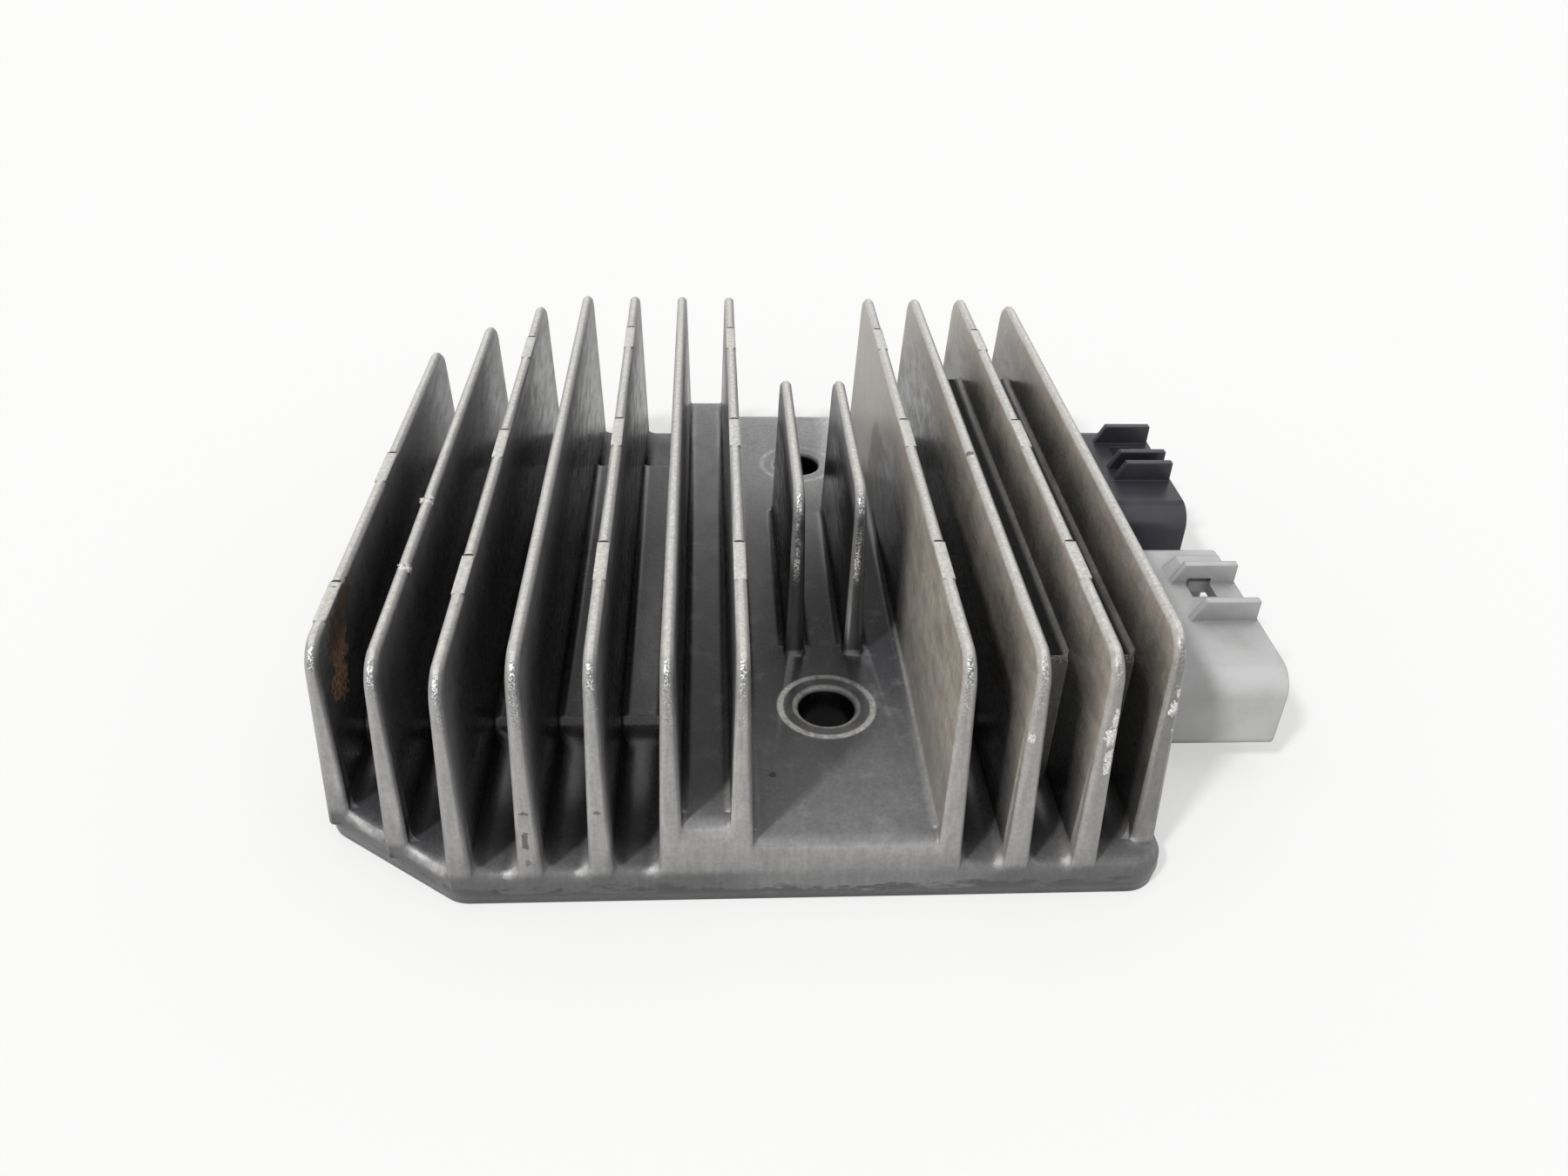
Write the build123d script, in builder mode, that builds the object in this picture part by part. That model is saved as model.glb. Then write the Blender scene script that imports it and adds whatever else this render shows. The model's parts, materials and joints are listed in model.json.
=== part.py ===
from build123d import *
import os
from math import cos, radians, sin, tan

# A voltage regulator rectifier: one finned die casting that carries two sealed connectors on its
# right side and holds the electronics, potted, in a cavity on its underside. All sizes are in mm.
# X runs across the fins towards the connectors, Y along the fins and Z up. The origin lies on the
# mounting face, midway between the two mounting holes.

# Mounting holes
hole_spacing = 58.0
hole_diameter = 6.6
hole_chamfer = 0.4
boss_radius = 6.5

# Fins
fin_count = 13
fin_pitch = 7.15
fin_row_x = 0.4
fin_top_z = 29.3
fin_top_thickness = 1.3
fin_side_draft = 1.35
fin_end_draft = 5.3
fin_corner_radius = 3.4
fin_edge_chamfer = 0.4
fin_root_radius = 0.9
stepped_fins = 3
stepped_fin_drop = 1.65
first_fin_front_setback = 9.6
first_fin_rear_setback = 10.6
second_fin_front_setback = 4.6
second_fin_rear_setback = 4.8
third_fin_rear_setback = 0.6
last_fin_front_setback = 3.3
last_fin_rear_setback = 2.5
short_fins = (8, 9)
short_fin_front = -17.5
short_fin_rear = 14.7

# Ejector pads: square-edged stretches of some fin tops
pad_fins = (1, 3, 5, 7, 10, 12)
rear_pad_end = 30.1
middle_pad_end = 1.1
front_pad_end = -27.7
pad_length = 7.0
pad_depth = 0.8

# Base of the casting
base_left = -55.0
base_right = 34.6
base_front = -51.2
base_rear = 46.9
parting_z = 1.8
flange_z = 3.9
flange_edge_chamfer = 0.6
flange_root_radius = 1.5
front_corner_length = 15.5
front_corner_depth = 11.0
rear_corner_length = 14.8
rear_corner_depth = 12.0
corner_blend_radius = 4.0
lower_band_draft = 8.0

# Channel floors between the fins
cavity_block_z = 7.5
cavity_block_front = -31.0
block_end_draft = 3.0
block_edge_chamfer = 0.6
centre_floor_z = 7.6
centre_fins = (7, 10)
side_floor_z = 10.1
floor_edge_radius = 2.0
connector_block_z = 20.4
connector_block_fin = 11

# Potted cavity
roof_thickness = 2.9
wall_thickness = 2.7
cavity_corner_radius = 1.0
potting_recess = 0.5

# Connector shells
shell_mouth_x = 52.3
shell_bottom_z = 4.0
shell_top_z = 14.3
shell_wall = 1.6
shell_top_radius = 3.0
shell_bottom_radius = 1.3
shell_fit = 0.15
shell_flange_lip = 0.9
shell_flange_length = 2.4
shell_flange_gap = 0.35
socket_depth = 15.8
output_shell_front = -32.9
output_shell_rear = -4.1
stator_shell_front = 3.6
stator_shell_rear = 29.0

# Guide rails and latch windows on the shells
rail_thickness = 1.0
rail_height = 2.8
rail_length = 8.0
rail_ramp = 1.5
rail_end_gap = 0.3
output_front_rail = -3.5
output_rear_rail = 4.4
stator_front_rail = -4.3
stator_middle_rail = -1.0
stator_rear_rail = 6.9
step_rib_width = 2.8
step_rib_height = 1.8
step_rib_end_gap = 1.3
window_length = 3.0
window_width = 3.2
window_mouth_distance = 3.3
rail_to_window = 2.7

# Blade terminals
blade_width = 6.3
blade_thickness = 0.8
blade_mouth_distance = 3.2
blade_point_chamfer = 0.35
blade_root_length = 1.0
stator_blade_pitch = 7.4
output_blade_pitch = 9.0
tail_width = 2.4
tail_bend_x = 25.2
tail_foot_x = 12.0

# Power stage
substrate_left = -48.0
substrate_right = 17.6
substrate_front = -27.0
substrate_rear = 23.6
substrate_thickness = 1.5
substrate_notch_width = 15.0
device_length = 10.0
device_width = 9.0
device_height = 1.9
device_row_y = 11.0
device_column_pitch = 19.0
middle_column_x = -17.0

# Control board and its components
board_left = 20.4
board_right = 28.4
board_front = -32.0
board_rear = 26.0
board_bottom_z = 13.2
board_thickness = 1.6
chip_length = 6.0
chip_height = 1.5
control_chip_width = 5.0
control_chip_y = -20.0
driver_chip_width = 4.0
driver_chip_y = -6.0
zener_width = 2.6
zener_y = 12.0
capacitor_x = 24.8
capacitor_length = 7.3
capacitor_width = 5.0
capacitor_height = 5.8
output_capacitor_y = -28.0
timing_capacitor_y = 2.0
pin_size = 0.64
pin_count = 4
pin_pitch = 2.54
first_pin_y = -5.5
pin_edge_distance = 0.8
pin_end_height = 0.6
pin_foot_x = 14.0

# Values that follow from the sizes above
side_slope = tan(radians(fin_side_draft))
end_slope = tan(radians(fin_end_draft))
block_slope = tan(radians(block_end_draft))
hole_places = [(0, -hole_spacing / 2), (0, hole_spacing / 2)]
fin_front_setbacks = {
    1: first_fin_front_setback,
    2: second_fin_front_setback,
    fin_count: last_fin_front_setback,
}
fin_rear_setbacks = {
    1: first_fin_rear_setback,
    2: second_fin_rear_setback,
    3: third_fin_rear_setback,
    fin_count: last_fin_rear_setback,
}
output_middle_y = (output_shell_front + output_shell_rear) / 2
stator_middle_y = (stator_shell_front + stator_shell_rear) / 2
cavity_block_rear = stator_shell_rear
tower_end_wall = shell_flange_lip + shell_flange_gap + wall_thickness
connector_block_front = output_shell_front - tower_end_wall
connector_block_rear = stator_shell_rear + tower_end_wall
cavity_roof_z = cavity_block_z - roof_thickness
tower_roof_z = connector_block_z - roof_thickness
blade_z = (shell_bottom_z + shell_top_z) / 2
socket_floor_x = shell_mouth_x - socket_depth
substrate_bottom_z = cavity_roof_z - substrate_thickness
board_top_z = board_bottom_z + board_thickness
pin_x = board_left + pin_edge_distance


def fin_x(number):
    """Middle of a fin, counted from 1 at the left."""
    return fin_row_x + (number - (fin_count + 4) / 2) * fin_pitch


def fin_top(number):
    """Height of a fin's top: the first fins step down towards the left side."""
    return fin_top_z - stepped_fin_drop * max(0, stepped_fins + 1 - number)


def right_face(number, z):
    """Place of a fin's drafted right face at a height."""
    return fin_x(number) + fin_top_thickness / 2 + (fin_top(number) - z) * side_slope


def left_face(number, z):
    """Place of a fin's drafted left face at a height."""
    return 2 * fin_x(number) - right_face(number, z)


def across(y):
    """Plane across the fins at a place along them, with X to the right and Z up."""
    return Plane.XZ.offset(-y)


def make_fin(number):
    """A drafted fin from inside the base up: leaning ends, rounded top corners, broken edges."""
    top = fin_top(number)
    lean = (top - parting_z) * end_slope
    front = base_front + fin_front_setbacks.get(number, 0) + lean
    rear = base_rear - fin_rear_setbacks.get(number, 0) - lean
    if number in short_fins:
        front = short_fin_front
        rear = short_fin_rear
    root_z = parting_z + fin_root_radius / 2
    spread = (top - root_z) * end_slope
    with BuildPart() as fin:
        with BuildSketch(across(base_rear)):
            Polygon(
                (left_face(number, root_z), root_z),
                (right_face(number, root_z), root_z),
                (right_face(number, top), top),
                (left_face(number, top), top),
                align=None,
            )
        extrude(amount=base_rear - base_front)
        with BuildSketch(Plane.YZ.offset(fin_x(number) - fin_pitch)):
            with BuildLine():
                FilletPolyline(
                    (front - spread, root_z),
                    (rear + spread, root_z),
                    (rear, top),
                    (front, top),
                    radius=(0, 0, fin_corner_radius, fin_corner_radius),
                    close=True,
                )
            make_face()
        extrude(amount=2 * fin_pitch, mode=Mode.INTERSECT)
        rim = [edge for edge in fin.edges() if edge.bounding_box().size.Y > fin_edge_chamfer]
        foot = fin.edges().group_by(Axis.Z)[0]
        chamfer([edge for edge in rim if edge not in foot], fin_edge_chamfer)
    return fin.part


def make_floor(left_fin, right_fin, floor_z, front, rear, root_radius=fin_root_radius):
    """Metal under a stretch of channel, with fillets up to the fins on both sides."""
    low_z = parting_z + fin_root_radius / 2
    rim_z = floor_z + 2 * fin_root_radius
    with BuildPart() as floor:
        with BuildSketch(across(rear)):
            with BuildLine():
                FilletPolyline(
                    (fin_x(left_fin), low_z),
                    (fin_x(right_fin), low_z),
                    (fin_x(right_fin), rim_z),
                    (left_face(right_fin, rim_z), rim_z),
                    (left_face(right_fin, floor_z), floor_z),
                    (right_face(left_fin, floor_z), floor_z),
                    (right_face(left_fin, rim_z), rim_z),
                    (fin_x(left_fin), rim_z),
                    radius=(0, 0, 0, 0, root_radius, root_radius, 0, 0),
                    close=True,
                )
            make_face()
        extrude(amount=rear - front)
    return floor.part


def make_low_floor(left_fin, right_fin, inner_y, outer_y):
    """Floor at the flange's height, with feet that slope down into the flange's edge chamfer."""
    side = 1 if outer_y > inner_y else -1
    front, rear = sorted((inner_y, outer_y))
    floor = make_floor(left_fin, right_fin, flange_z, front, rear, flange_root_radius)
    run = 1 + sin(radians(fin_end_draft))
    drop = cos(radians(fin_end_draft))
    foot_plane = Plane(origin=(0, outer_y, flange_z), z_dir=(0, -side * drop, -run))
    return split(floor, bisect_by=foot_plane, keep=Keep.TOP)


def make_block(left_fin, right_fin, floor_z, front, rear, slope):
    """Raised block between two fins, with leaning ends."""
    low_z = parting_z + fin_root_radius / 2
    spread = (floor_z - low_z) * slope
    with BuildPart() as block:
        with BuildSketch(Plane.YZ.offset(fin_x(left_fin))):
            Polygon(
                (front - spread, low_z),
                (rear + spread, low_z),
                (rear, floor_z),
                (front, floor_z),
                align=None,
            )
        extrude(amount=fin_x(right_fin) - fin_x(left_fin))
    return block.part


def end_edges(block):
    """The top edges of a block, across its two ends."""
    return block.edges().group_by(Axis.Z)[-1].filter_by(Axis.X)


def make_channel(left_fin, right_fin, floor_z, front, rear):
    """Channel whose raised middle drops to the flange in front and behind."""
    block = make_block(left_fin, right_fin, floor_z, front, rear, block_slope)
    clear = block_edge_chamfer
    edge = (flange_z - parting_z) * end_slope + flange_edge_chamfer
    low_front = base_front + edge
    low_rear = base_rear - edge
    if left_fin in (1, 2):
        low_front = low_front + fin_front_setbacks[left_fin]
        low_rear = low_rear - fin_rear_setbacks[left_fin]
    if right_fin == fin_count:
        low_front = low_front + fin_front_setbacks[fin_count]
        low_rear = low_rear - fin_rear_setbacks[fin_count]
    return [
        chamfer(end_edges(block), block_edge_chamfer),
        make_floor(left_fin, right_fin, floor_z, front + clear, rear - clear),
        make_low_floor(left_fin, right_fin, front, low_front),
        make_low_floor(left_fin, right_fin, rear, low_rear),
    ]


def make_open_channel(left_fin, right_fin, floor_z):
    """Channel whose raised floor runs out over both ends of the casting."""
    lean = (floor_z - parting_z) * end_slope
    front = base_front + lean
    rear = base_rear - lean
    block = make_block(left_fin, right_fin, floor_z, front, rear, end_slope)
    clear = floor_edge_radius
    return [
        fillet(end_edges(block), floor_edge_radius),
        make_floor(left_fin, right_fin, floor_z, front + clear, rear - clear),
    ]


side_wall_outer_x = right_face(fin_count, flange_z)
side_wall_inner_x = side_wall_outer_x - wall_thickness
flange_x = side_wall_inner_x - shell_flange_length
tower_left_x = left_face(connector_block_fin, cavity_block_z) + wall_thickness

fins = [make_fin(number) for number in range(1, fin_count + 1)]

channels = []
for number in (1, 2, 3, 4, 5, 10):
    channels += make_channel(
        number, number + 1, cavity_block_z, cavity_block_front, cavity_block_rear
    )
for number in (connector_block_fin, connector_block_fin + 1):
    channels += make_channel(
        number, number + 1, connector_block_z, connector_block_front, connector_block_rear
    )
channels += make_open_channel(6, 7, side_floor_z)
channels += make_open_channel(*centre_fins, centre_floor_z)

# Fillets around the feet of the short fins
short_roots = [
    make_floor(left, left + 1, centre_floor_z, short_fin_front, short_fin_rear)
    for left in (7, 8, 9)
]

# Base plate with its parting line
with BuildPart() as base_plate:
    with BuildSketch(Plane.XY.offset(parting_z)) as base_outline:
        with BuildLine():
            FilletPolyline(
                (base_left, base_front + front_corner_depth),
                (base_left + front_corner_length, base_front),
                (base_right, base_front),
                (base_right, base_rear),
                (base_left + rear_corner_length, base_rear),
                (base_left, base_rear - rear_corner_depth),
                radius=corner_blend_radius,
                close=True,
            )
        make_face()
    extrude(amount=flange_z - parting_z, taper=fin_end_draft)
    chamfer(edges().group_by(Axis.Z)[-1], flange_edge_chamfer)
    extrude(base_outline.sketch, amount=-parting_z, taper=lower_band_draft)

# Potted cavity: a shallow pocket under the fins and a tall one behind the connectors
with BuildPart() as cavity:
    with BuildSketch():
        with BuildLine():
            FilletPolyline(
                (base_left + wall_thickness, cavity_block_front + wall_thickness),
                (side_wall_inner_x, cavity_block_front + wall_thickness),
                (side_wall_inner_x, cavity_block_rear - wall_thickness),
                (base_left + wall_thickness, cavity_block_rear - wall_thickness),
                radius=cavity_corner_radius,
                close=True,
            )
        make_face()
        with Locations(*hole_places):
            Circle(boss_radius, mode=Mode.SUBTRACT)
    extrude(amount=cavity_roof_z)
    with BuildSketch():
        with BuildLine():
            FilletPolyline(
                (tower_left_x, connector_block_front + wall_thickness),
                (side_wall_inner_x, connector_block_front + wall_thickness),
                (side_wall_inner_x, connector_block_rear - wall_thickness),
                (tower_left_x, connector_block_rear - wall_thickness),
                radius=cavity_corner_radius,
                close=True,
            )
        make_face()
    extrude(amount=tower_roof_z)

with BuildPart() as heat_sink_housing:
    add(base_plate.part)
    for piece in fins + channels + short_roots:
        add(piece)
    # Ejector pads on the fin tops
    for number in pad_fins:
        for rear_end in (rear_pad_end, middle_pad_end, front_pad_end):
            if number > 1 or rear_end < rear_pad_end:
                pad_z = fin_top(number) - pad_depth / 2
                with Locations((fin_x(number), rear_end - pad_length / 2, pad_z)):
                    Box(fin_top_thickness, pad_length, pad_depth)
    # Cavity and mounting holes
    add(cavity.part, mode=Mode.SUBTRACT)
    with Locations(*hole_places):
        Hole(hole_diameter / 2)
    hole_edges = edges().filter_by(GeomType.CIRCLE).filter_by(
        lambda edge: abs(edge.radius - hole_diameter / 2) < hole_chamfer / 10
    )
    chamfer(hole_edges.group_by(Axis.Z)[-1], hole_chamfer)
    # Notches in the right wall for the connector shells, open downwards
    for front, rear in (
        (output_shell_front, output_shell_rear),
        (stator_shell_front, stator_shell_rear),
    ):
        with BuildSketch(Plane.YZ.offset(side_wall_inner_x - shell_fit)):
            with BuildLine():
                FilletPolyline(
                    (front - shell_fit, -shell_fit),
                    (rear + shell_fit, -shell_fit),
                    (rear + shell_fit, shell_top_z + shell_fit),
                    (front - shell_fit, shell_top_z + shell_fit),
                    radius=(0, 0, shell_top_radius, shell_top_radius),
                    close=True,
                )
            make_face()
        extrude(amount=base_right - side_wall_inner_x + 1, mode=Mode.SUBTRACT)


def make_blade(middle_y):
    """Blade terminal with a tail that bends down to the power stage."""
    foot_z = substrate_bottom_z - blade_thickness / 2
    blade_tip_x = shell_mouth_x - blade_mouth_distance
    blade_length = socket_depth - blade_mouth_distance + blade_root_length
    tail_length = blade_tip_x - blade_length - tail_bend_x
    with BuildPart() as blade:
        with BuildSketch(Plane.XY.offset(blade_z - blade_thickness / 2)):
            with Locations((blade_tip_x - blade_length / 2, middle_y)):
                Rectangle(blade_length, blade_width)
            with Locations((tail_bend_x + tail_length / 2, middle_y)):
                Rectangle(tail_length + blade_thickness, tail_width)
        extrude(amount=blade_thickness)
        chamfer(blade.edges().group_by(Axis.X)[-1].filter_by(Axis.Y), blade_point_chamfer)
        with Locations((tail_bend_x, middle_y, (blade_z + foot_z) / 2)):
            Box(blade_thickness, tail_width, blade_z - foot_z + blade_thickness)
        with Locations(((tail_bend_x + tail_foot_x) / 2, middle_y, foot_z)):
            Box(tail_bend_x - tail_foot_x, tail_width, blade_thickness)
    return blade.part


def make_shell(front, rear):
    """Connector shell with its socket and a skirt that closes the notch below it."""
    with BuildPart() as shell:
        with BuildSketch(Plane.YZ.offset(flange_x)):
            with BuildLine():
                FilletPolyline(
                    (front, shell_bottom_z),
                    (rear, shell_bottom_z),
                    (rear, shell_top_z),
                    (front, shell_top_z),
                    radius=(
                        shell_bottom_radius,
                        shell_bottom_radius,
                        shell_top_radius,
                        shell_top_radius,
                    ),
                    close=True,
                )
            make_face()
        extrude(amount=shell_mouth_x - flange_x)
        with BuildSketch(Plane.YZ.offset(side_wall_inner_x)):
            with Locations(((front + rear) / 2, (potting_recess + blade_z) / 2)):
                Rectangle(rear - front, blade_z - potting_recess)
        extrude(amount=wall_thickness)
        with BuildSketch(Plane.YZ.offset(socket_floor_x)):
            with BuildLine():
                FilletPolyline(
                    (front + shell_wall, shell_bottom_z + shell_wall),
                    (rear - shell_wall, shell_bottom_z + shell_wall),
                    (rear - shell_wall, shell_top_z - shell_wall),
                    (front + shell_wall, shell_top_z - shell_wall),
                    radius=(
                        shell_bottom_radius / 2,
                        shell_bottom_radius / 2,
                        shell_top_radius / 2,
                        shell_top_radius / 2,
                    ),
                    close=True,
                )
            make_face()
        extrude(amount=socket_depth, mode=Mode.SUBTRACT)
    return shell.part


def make_flange(front, rear):
    """Flange of a shell, inside the wall of the cavity and trimmed to its corners."""
    with BuildPart() as flange:
        with BuildSketch(Plane.YZ.offset(flange_x)):
            with BuildLine():
                FilletPolyline(
                    (front - shell_flange_lip, potting_recess),
                    (rear + shell_flange_lip, potting_recess),
                    (rear + shell_flange_lip, shell_top_z + shell_flange_lip),
                    (front - shell_flange_lip, shell_top_z + shell_flange_lip),
                    radius=(0, 0, shell_top_radius, shell_top_radius),
                    close=True,
                )
            make_face()
        extrude(amount=shell_flange_length)
        add(cavity.part, mode=Mode.INTERSECT)
    return flange.part


def make_rail(front_y, width, height, end_gap):
    """Guide rail on top of a shell, ramped at its inner end."""
    start_x = shell_mouth_x - rail_end_gap - rail_length
    sunk_z = shell_top_z - shell_wall / 2
    with BuildPart() as rail:
        with BuildSketch(across(front_y + width)):
            Polygon(
                (start_x, sunk_z),
                (shell_mouth_x - end_gap, sunk_z),
                (shell_mouth_x - end_gap, shell_top_z + height),
                (start_x + rail_ramp, shell_top_z + height),
                (start_x, shell_top_z),
                align=None,
            )
        extrude(amount=width)
    return rail.part


def make_window(front_y):
    """Latch window through the top wall of a shell."""
    middle_x = shell_mouth_x - window_mouth_distance - window_length / 2
    with BuildPart() as window:
        with Locations((middle_x, front_y + window_width / 2, shell_top_z - shell_wall / 2)):
            Box(window_length, window_width, 2 * shell_wall)
    return window.part


# Blade terminals, made up by pitch about the middle of each socket
output_blades = [
    make_blade(output_middle_y + side * output_blade_pitch / 2)
    for side in (-1, 1)
]
stator_blades = [
    make_blade(stator_middle_y + place * stator_blade_pitch)
    for place in (-1, 0, 1)
]

output_shell = make_shell(output_shell_front, output_shell_rear)
output_flange = make_flange(output_shell_front, output_shell_rear)
output_rails = [
    make_rail(output_middle_y + place, rail_thickness, rail_height, rail_end_gap)
    for place in (output_front_rail, output_rear_rail)
]
step_rib_y = output_middle_y + output_rear_rail + rail_thickness
output_rails.append(make_rail(step_rib_y, step_rib_width, step_rib_height, step_rib_end_gap))
output_window = make_window(output_middle_y + output_rear_rail - rail_to_window)

stator_shell = make_shell(stator_shell_front, stator_shell_rear)
stator_flange = make_flange(stator_shell_front, stator_shell_rear)
stator_rails = [
    make_rail(stator_middle_y + place, rail_thickness, rail_height, rail_end_gap)
    for place in (stator_front_rail, stator_middle_rail, stator_rear_rail)
]
window_y = stator_middle_y + stator_middle_rail + rail_thickness + rail_to_window
stator_window = make_window(window_y)

with BuildPart() as output_connector_shell:
    add([output_shell, output_flange])
    add(output_rails)
    add(output_window, mode=Mode.SUBTRACT)
    add(output_blades, mode=Mode.SUBTRACT)

with BuildPart() as stator_connector_shell:
    add([stator_shell, stator_flange])
    add(stator_rails)
    add(stator_window, mode=Mode.SUBTRACT)
    add(stator_blades, mode=Mode.SUBTRACT)

with BuildPart() as output_blade_negative:
    add(output_blades[0])

with BuildPart() as output_blade_positive:
    add(output_blades[1])

with BuildPart() as stator_blade_front:
    add(stator_blades[0])

with BuildPart() as stator_blade_middle:
    add(stator_blades[1])

with BuildPart() as stator_blade_rear:
    add(stator_blades[2])

# Insulated metal substrate, held against the cavity roof and notched around the hole bosses
with BuildPart() as power_substrate:
    with BuildSketch(Plane.XY.offset(substrate_bottom_z)):
        with Locations(
            ((substrate_left + substrate_right) / 2, (substrate_front + substrate_rear) / 2)
        ):
            Rectangle(substrate_right - substrate_left, substrate_rear - substrate_front)
        with Locations(*hole_places):
            Rectangle(substrate_notch_width, substrate_notch_width, mode=Mode.SUBTRACT)
    extrude(amount=substrate_thickness)

device_middle_y = (substrate_front + substrate_rear) / 2
device_z = substrate_bottom_z - device_height / 2
left_column_x = middle_column_x - device_column_pitch
right_column_x = middle_column_x + device_column_pitch

# Thyristors in the front row and diodes in the rear row, one pair to each stator phase
with BuildPart() as thyristor_left:
    with Locations((left_column_x, device_middle_y - device_row_y, device_z)):
        Box(device_length, device_width, device_height)

with BuildPart() as thyristor_middle:
    with Locations((middle_column_x, device_middle_y - device_row_y, device_z)):
        Box(device_length, device_width, device_height)

with BuildPart() as thyristor_right:
    with Locations((right_column_x, device_middle_y - device_row_y, device_z)):
        Box(device_length, device_width, device_height)

with BuildPart() as diode_left:
    with Locations((left_column_x, device_middle_y + device_row_y, device_z)):
        Box(device_length, device_width, device_height)

with BuildPart() as diode_middle:
    with Locations((middle_column_x, device_middle_y + device_row_y, device_z)):
        Box(device_length, device_width, device_height)

with BuildPart() as diode_right:
    with Locations((right_column_x, device_middle_y + device_row_y, device_z)):
        Box(device_length, device_width, device_height)

# Link pins between the control board and the power stage
with BuildPart() as board_link_pins:
    for index in range(pin_count):
        pin_y = first_pin_y + index * pin_pitch
        foot_z = substrate_bottom_z - pin_size
        pin_top_z = board_top_z + pin_end_height
        with Locations((pin_x, pin_y, (pin_top_z + foot_z) / 2)):
            Box(pin_size, pin_size, pin_top_z - foot_z)
        with Locations(((pin_x + pin_foot_x) / 2, pin_y, foot_z + pin_size / 2)):
            Box(pin_x - pin_foot_x, pin_size, pin_size)

with BuildPart() as control_board:
    with BuildSketch(Plane.XY.offset(board_bottom_z)):
        with Locations(((board_left + board_right) / 2, (board_front + board_rear) / 2)):
            Rectangle(board_right - board_left, board_rear - board_front)
    extrude(amount=board_thickness)
    add(board_link_pins.part, mode=Mode.SUBTRACT)

chip_x = (board_left + board_right) / 2
chip_z = board_top_z + chip_height / 2

with BuildPart() as control_chip:
    with Locations((chip_x, control_chip_y, chip_z)):
        Box(control_chip_width, chip_length, chip_height)

with BuildPart() as driver_chip:
    with Locations((chip_x, driver_chip_y, chip_z)):
        Box(driver_chip_width, chip_length, chip_height)

with BuildPart() as zener_diode:
    with Locations((chip_x, zener_y, chip_z)):
        Box(zener_width, chip_length, chip_height)

with BuildPart() as output_capacitor:
    with Locations((capacitor_x, output_capacitor_y, board_bottom_z - capacitor_height / 2)):
        Box(capacitor_width, capacitor_length, capacitor_height)

with BuildPart() as timing_capacitor:
    with Locations((capacitor_x, timing_capacitor_y, board_bottom_z - capacitor_height / 2)):
        Box(capacitor_width, capacitor_length, capacitor_height)

sealed_pieces = [
    power_substrate,
    thyristor_left,
    thyristor_middle,
    thyristor_right,
    diode_left,
    diode_middle,
    diode_right,
    board_link_pins,
    control_board,
    control_chip,
    driver_chip,
    zener_diode,
    output_capacitor,
    timing_capacitor,
    output_blade_negative,
    output_blade_positive,
    stator_blade_front,
    stator_blade_middle,
    stator_blade_rear,
    output_connector_shell,
    stator_connector_shell,
]

# Resin that fills the cavity around all of them, a little short of the mounting face
with BuildPart() as potting_resin:
    add(cavity.part)
    split(bisect_by=Plane.XY.offset(potting_recess), keep=Keep.TOP)
    add([piece.part for piece in sealed_pieces], mode=Mode.SUBTRACT)

os.makedirs("parts", exist_ok=True)

heat_sink_housing.part.label = "heat_sink_housing"
export_step(heat_sink_housing.part, "parts/heat_sink_housing.step")
output_connector_shell.part.label = "output_connector_shell"
export_step(output_connector_shell.part, "parts/output_connector_shell.step")
stator_connector_shell.part.label = "stator_connector_shell"
export_step(stator_connector_shell.part, "parts/stator_connector_shell.step")
output_blade_negative.part.label = "output_blade_negative"
export_step(output_blade_negative.part, "parts/output_blade_negative.step")
output_blade_positive.part.label = "output_blade_positive"
export_step(output_blade_positive.part, "parts/output_blade_positive.step")
stator_blade_front.part.label = "stator_blade_front"
export_step(stator_blade_front.part, "parts/stator_blade_front.step")
stator_blade_middle.part.label = "stator_blade_middle"
export_step(stator_blade_middle.part, "parts/stator_blade_middle.step")
stator_blade_rear.part.label = "stator_blade_rear"
export_step(stator_blade_rear.part, "parts/stator_blade_rear.step")
power_substrate.part.label = "power_substrate"
export_step(power_substrate.part, "parts/power_substrate.step")
thyristor_left.part.label = "thyristor_left"
export_step(thyristor_left.part, "parts/thyristor_left.step")
thyristor_middle.part.label = "thyristor_middle"
export_step(thyristor_middle.part, "parts/thyristor_middle.step")
thyristor_right.part.label = "thyristor_right"
export_step(thyristor_right.part, "parts/thyristor_right.step")
diode_left.part.label = "diode_left"
export_step(diode_left.part, "parts/diode_left.step")
diode_middle.part.label = "diode_middle"
export_step(diode_middle.part, "parts/diode_middle.step")
diode_right.part.label = "diode_right"
export_step(diode_right.part, "parts/diode_right.step")
board_link_pins.part.label = "board_link_pins"
export_step(board_link_pins.part, "parts/board_link_pins.step")
control_board.part.label = "control_board"
export_step(control_board.part, "parts/control_board.step")
control_chip.part.label = "control_chip"
export_step(control_chip.part, "parts/control_chip.step")
driver_chip.part.label = "driver_chip"
export_step(driver_chip.part, "parts/driver_chip.step")
zener_diode.part.label = "zener_diode"
export_step(zener_diode.part, "parts/zener_diode.step")
output_capacitor.part.label = "output_capacitor"
export_step(output_capacitor.part, "parts/output_capacitor.step")
timing_capacitor.part.label = "timing_capacitor"
export_step(timing_capacitor.part, "parts/timing_capacitor.step")
potting_resin.part.label = "potting_resin"
export_step(potting_resin.part, "parts/potting_resin.step")
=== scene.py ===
# %% [markdown]
# A voltage regulator rectifier: a finned die casting with two plastic connectors. The solid parts
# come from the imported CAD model, which is loaded here as a fixed frame. This lesson gives them
# their finishes, sets up the light and the camera, and leaves the solids where they are.

# %% Load the frame
import json
import math

import bmesh
import bpy
import mathutils.noise
from mathutils import Matrix, Vector


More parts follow.
